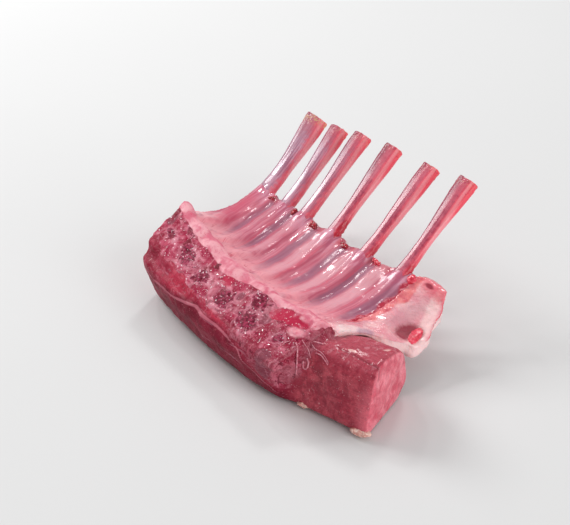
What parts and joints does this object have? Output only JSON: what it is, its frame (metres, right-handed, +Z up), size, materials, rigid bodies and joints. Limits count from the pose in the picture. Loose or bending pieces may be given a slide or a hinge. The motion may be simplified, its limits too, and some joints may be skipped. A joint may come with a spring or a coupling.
{
  "type": "raw rack of lamb",
  "caption": "Raw rack of lamb with cleaned rib bones, lying with the inside of the rib cage up, with the sawn backbone, the bare end of the loin and a loose flap of fat.",
  "frame": {"origin": "On the table, under the middle of the rack's bounding box.", "axes": "+X along the backbone from the shoulder end to the bare end of the loin, +Y from the backbone out to the rib tips, +Z up from the table."},
  "size_m": [0.2558, 0.198, 0.0908],
  "materials": {
    "bone": "wet, with a lilac skin on the inner side and a red edge",
    "backbone": "wet sawn bone, spongy and dark red in patches, with a pale fat ridge",
    "lean": "moist dark red lean meat",
    "rib_meat": "wet pink meat under a thin clear skin",
    "fat": "glossy pink-white fat"
  },
  "bodies": {
    "root": {"rib_1": "bone", "rib_2": "bone", "rib_3": "bone", "rib_4": "bone", "rib_5": "bone", "rib_6": "bone", "backbone": "backbone", "loin_eye": "lean", "rib_meat": "rib_meat", "fat_seam": "fat", "fat_flap": "fat"}
  },
  "joints": []
}
